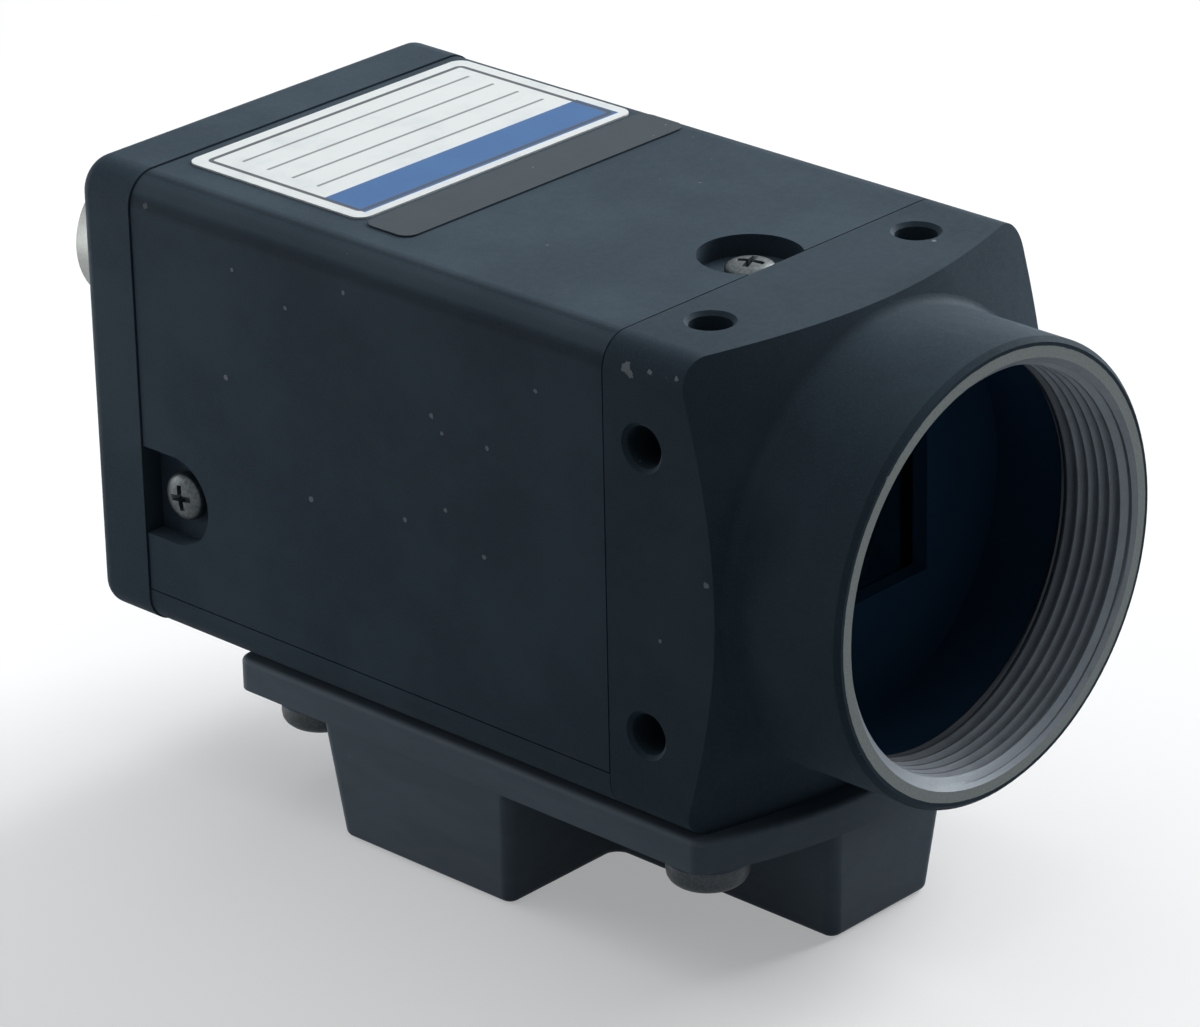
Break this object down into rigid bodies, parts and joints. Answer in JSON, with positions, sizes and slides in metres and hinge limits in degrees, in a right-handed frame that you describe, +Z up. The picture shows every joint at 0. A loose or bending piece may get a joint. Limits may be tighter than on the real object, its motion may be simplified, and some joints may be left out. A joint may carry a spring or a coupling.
{
  "type": "machine vision camera",
  "caption": "Square-bodied industrial camera with a threaded lens collar, screwed cover, rear plug and a moulded tripod adapter underneath.",
  "frame": {"origin": "centre of the lens mount, on the face that a lens seats on", "axes": "+Y back along the lens axis to the rear connector, +Z up, +X to the right seen from the front"},
  "size_m": [0.0302, 0.066, 0.0401],
  "materials": {
    "housing": "satin blue-black anodised aluminium",
    "screw_black": "blackened steel",
    "screw_plain": "zinc-plated steel",
    "adapter": "black moulded resin",
    "insert": "plain turned brass",
    "filter": "blue-tinted infrared filter",
    "gasket": "black foam rubber",
    "ceramic": "grey sensor package",
    "die": "polished silicon",
    "cover_glass": "clear glass",
    "board": "green circuit board",
    "standoff": "nickel-plated brass",
    "chip": "black moulded package",
    "header": "black connector plastic",
    "capacitor": "drawn aluminium can",
    "shell": "satin nickel plating",
    "insulator": "black insulator",
    "contact": "gold-plated pins",
    "label_white": "white film label",
    "label_dark": "dark grey film strip"
  },
  "bodies": {
    "root": {"front_housing": "housing", "cover": "housing", "chassis": "housing", "cover_screws": "screw_black", "chassis_screws": "screw_black", "adapter_screws": "screw_black", "mount_adapter": "adapter", "tripod_insert": "insert", "filter_glass": "filter", "dust_gasket": "gasket", "sensor_package": "ceramic", "sensor_die": "die", "sensor_glass": "cover_glass", "sensor_board": "board", "process_board": "board", "power_board": "board", "connector_board": "board", "board_standoffs": "standoff", "board_screws": "screw_plain", "board_headers": "header", "image_processor": "chip", "memory_chips": "chip", "power_coils": "chip", "power_capacitors": "capacitor", "connector_shell": "shell", "connector_nut": "shell", "connector_insert": "insulator", "connector_contacts": "contact", "white_label": "label_white", "dark_strip": "label_dark"}
  },
  "joints": []
}
